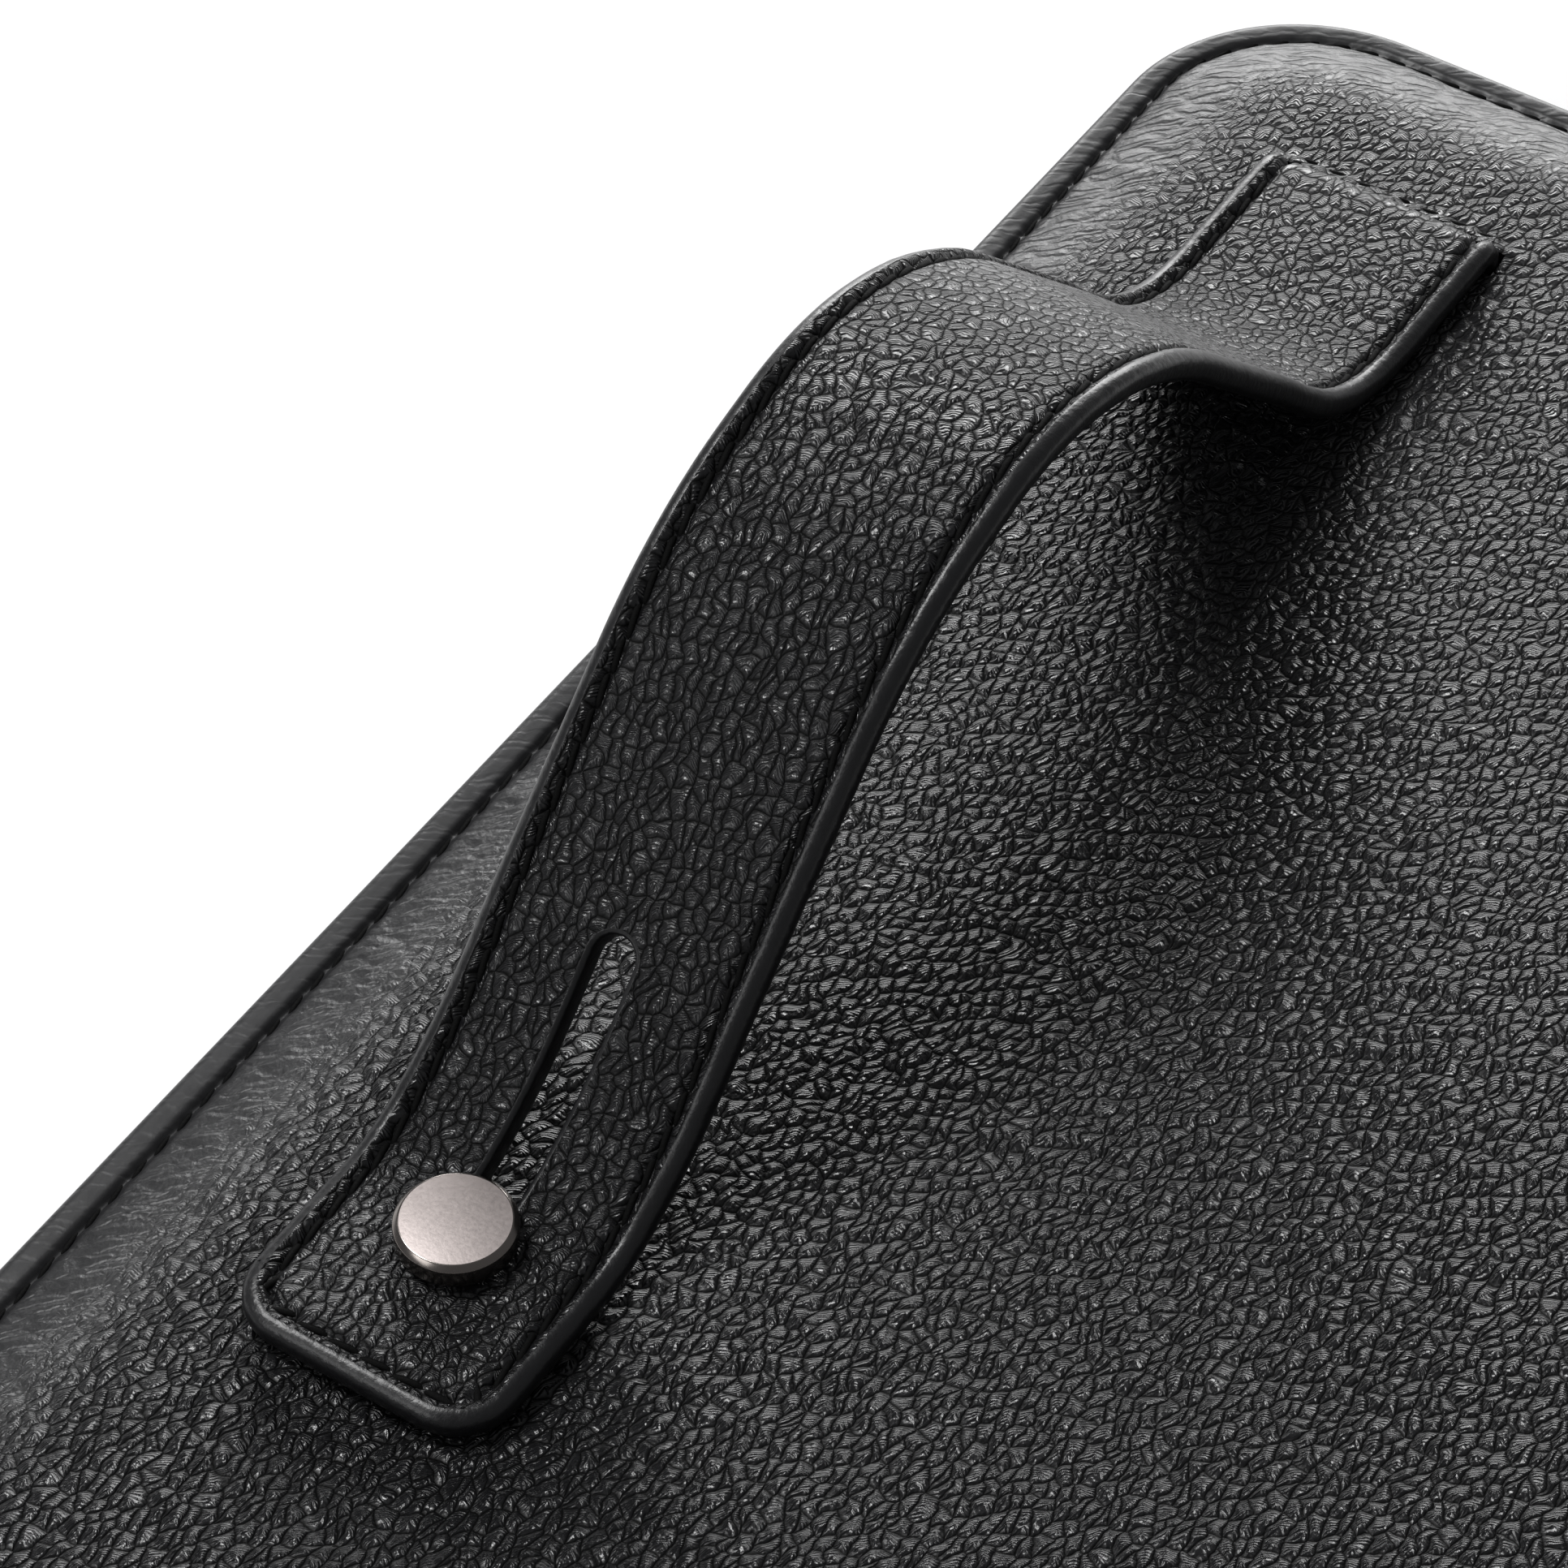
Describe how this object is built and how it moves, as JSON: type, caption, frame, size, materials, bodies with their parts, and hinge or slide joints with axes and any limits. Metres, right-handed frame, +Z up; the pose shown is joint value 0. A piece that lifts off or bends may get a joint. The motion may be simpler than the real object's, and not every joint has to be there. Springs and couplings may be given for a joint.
{
  "type": "notebook cover",
  "caption": "Padded leather notebook cover with rounded corners, folding spine, inner sleeves and a raised hand strap held by a stud in a slot.",
  "frame": {"origin": "on the surface the closed cover lies on, under the middle of the closed cover", "axes": "+X from the fore edge towards the spine, +Y towards the head of the cover, +Z up through the strap"},
  "size_m": [0.18, 0.24, 0.0682],
  "materials": {
    "grain_leather": "pebbled full-grain leather, black, semi-matt, edges painted black",
    "backing_leather": "smooth split leather, black, matt",
    "suede": "microsuede lining, charcoal, matt",
    "foam": "closed-cell foam padding, grey",
    "board": "grey-brown binder's board",
    "thread": "bonded polyester thread, black",
    "nickel": "satin nickel plate with a polished bevel",
    "steel": "zinc-plated steel"
  },
  "bodies": {
    "front_cover": {"front_lining": "suede", "front_board": "board", "front_foam": "foam", "front_leather": "grain_leather", "front_edge_thread": "thread", "front_flap": "backing_leather"},
    "spine": {"spine_leather": "grain_leather", "spine_board": "board", "spine_lining": "suede"},
    "back_cover": {"back_lining": "suede", "back_board": "board", "back_foam": "foam", "back_leather": "grain_leather", "back_edge_thread": "thread", "back_flap": "backing_leather", "strap_face_sewn_end": "grain_leather", "strap_backing_sewn_end": "backing_leather", "strap_row_thread": "thread", "stud_head": "nickel", "stud_washer": "steel", "stud_screw": "steel"},
    "strap_link_01": {"strap_face_01": "grain_leather", "strap_backing_01": "backing_leather"},
    "strap_link_02": {"strap_face_02": "grain_leather", "strap_backing_02": "backing_leather"},
    "strap_link_03": {"strap_face_03": "grain_leather", "strap_backing_03": "backing_leather"},
    "strap_link_04": {"strap_face_04": "grain_leather", "strap_backing_04": "backing_leather"},
    "strap_link_05": {"strap_face_05": "grain_leather", "strap_backing_05": "backing_leather"},
    "strap_link_06": {"strap_face_06": "grain_leather", "strap_backing_06": "backing_leather"},
    "strap_link_07": {"strap_face_07": "grain_leather", "strap_backing_07": "backing_leather"},
    "strap_link_08": {"strap_face_08": "grain_leather", "strap_backing_08": "backing_leather"},
    "strap_link_09": {"strap_face_09": "grain_leather", "strap_backing_09": "backing_leather"},
    "strap_link_10": {"strap_face_10_left": "grain_leather", "strap_face_10_right": "grain_leather", "strap_backing_10_left": "backing_leather", "strap_backing_10_right": "backing_leather"},
    "strap_link_11": {"strap_face_11_left": "grain_leather", "strap_face_11_right": "grain_leather", "strap_backing_11_left": "backing_leather", "strap_backing_11_right": "backing_leather"},
    "strap_loose_end": {"strap_face_loose_end": "grain_leather", "strap_backing_loose_end": "backing_leather"}
  },
  "joints": [
    {"name": "front_fold", "type": "hinge", "parent": "front_cover", "child": "spine", "pos_m": [0.0888, 0, 0.0044], "axis": [0, 1, 0], "range_deg": [0, 90]},
    {"name": "back_fold", "type": "hinge", "parent": "spine", "child": "back_cover", "pos_m": [0.0888, 0, 0.0208], "axis": [0, 1, 0], "range_deg": [0, 90]},
    {"name": "strap_fold_01", "type": "hinge", "parent": "back_cover", "child": "strap_link_01", "pos_m": [-0.058, 0.07137, 0.02685], "axis": [-1, 0, 0], "range_deg": [-15, 0]},
    {"name": "strap_fold_02", "type": "hinge", "parent": "strap_link_01", "child": "strap_link_02", "pos_m": [-0.058, 0.06509, 0.02853], "axis": [-1, 0, 0], "range_deg": [-15, 0]},
    {"name": "strap_fold_03", "type": "hinge", "parent": "strap_link_02", "child": "strap_link_03", "pos_m": [-0.058, 0.05903, 0.03203], "axis": [-1, 0, 0], "range_deg": [-13.5, 0]},
    {"name": "strap_fold_04", "type": "hinge", "parent": "strap_link_03", "child": "strap_link_04", "pos_m": [-0.058, 0.03073, 0.05888], "axis": [-1, 0, 0], "range_deg": [0, 13.5]},
    {"name": "strap_fold_05", "type": "hinge", "parent": "strap_link_04", "child": "strap_link_05", "pos_m": [-0.058, 0.02121, 0.06438], "axis": [-1, 0, 0], "range_deg": [0, 15]},
    {"name": "strap_fold_06", "type": "hinge", "parent": "strap_link_05", "child": "strap_link_06", "pos_m": [-0.058, 0.01203, 0.06684], "axis": [-1, 0, 0], "range_deg": [0, 15]},
    {"name": "strap_fold_07", "type": "hinge", "parent": "strap_link_06", "child": "strap_link_07", "pos_m": [-0.058, 0.00453, 0.06684], "axis": [-1, 0, 0], "range_deg": [0, 15]},
    {"name": "strap_fold_08", "type": "hinge", "parent": "strap_link_07", "child": "strap_link_08", "pos_m": [-0.058, -0.00706, 0.06373], "axis": [-1, 0, 0], "range_deg": [0, 15]},
    {"name": "strap_press", "type": "hinge", "parent": "strap_link_08", "child": "strap_link_09", "pos_m": [-0.058, -0.01572, 0.05873], "axis": [-1, 0, 0], "range_deg": [0, 13.5], "deforming": ["strap_face_09", "strap_backing_09"]},
    {"name": "strap_fold_10", "type": "hinge", "parent": "strap_link_09", "child": "strap_link_10", "pos_m": [-0.058, -0.04401, 0.03188], "axis": [-1, 0, 0], "range_deg": [-13.5, 0], "deforming": ["strap_face_10_left", "strap_face_10_right", "strap_backing_10_left", "strap_backing_10_right"]},
    {"name": "strap_fold_11", "type": "hinge", "parent": "strap_link_10", "child": "strap_link_11", "pos_m": [-0.058, -0.05094, 0.02789], "axis": [-1, 0, 0], "range_deg": [-15, 0], "deforming": ["strap_face_11_left", "strap_face_11_right", "strap_backing_11_left", "strap_backing_11_right"]},
    {"name": "strap_fold_12", "type": "hinge", "parent": "strap_link_11", "child": "strap_loose_end", "pos_m": [-0.058, -0.0548, 0.02685], "axis": [-1, 0, 0], "range_deg": [-15, 0]}
  ],
  "couplings": [
    {"joint": "strap_fold_01", "follows": "strap_press", "ratio": -1.1111},
    {"joint": "strap_fold_02", "follows": "strap_press", "ratio": -1.1111},
    {"joint": "strap_fold_03", "follows": "strap_press", "ratio": -1},
    {"joint": "strap_fold_04", "follows": "strap_press", "ratio": 1},
    {"joint": "strap_fold_05", "follows": "strap_press", "ratio": 1.1111},
    {"joint": "strap_fold_06", "follows": "strap_press", "ratio": 1.1111},
    {"joint": "strap_fold_07", "follows": "strap_press", "ratio": 1.1111},
    {"joint": "strap_fold_08", "follows": "strap_press", "ratio": 1.1111},
    {"joint": "strap_fold_10", "follows": "strap_press", "ratio": -1},
    {"joint": "strap_fold_11", "follows": "strap_press", "ratio": -1.1111},
    {"joint": "strap_fold_12", "follows": "strap_press", "ratio": -1.1111}
  ]
}
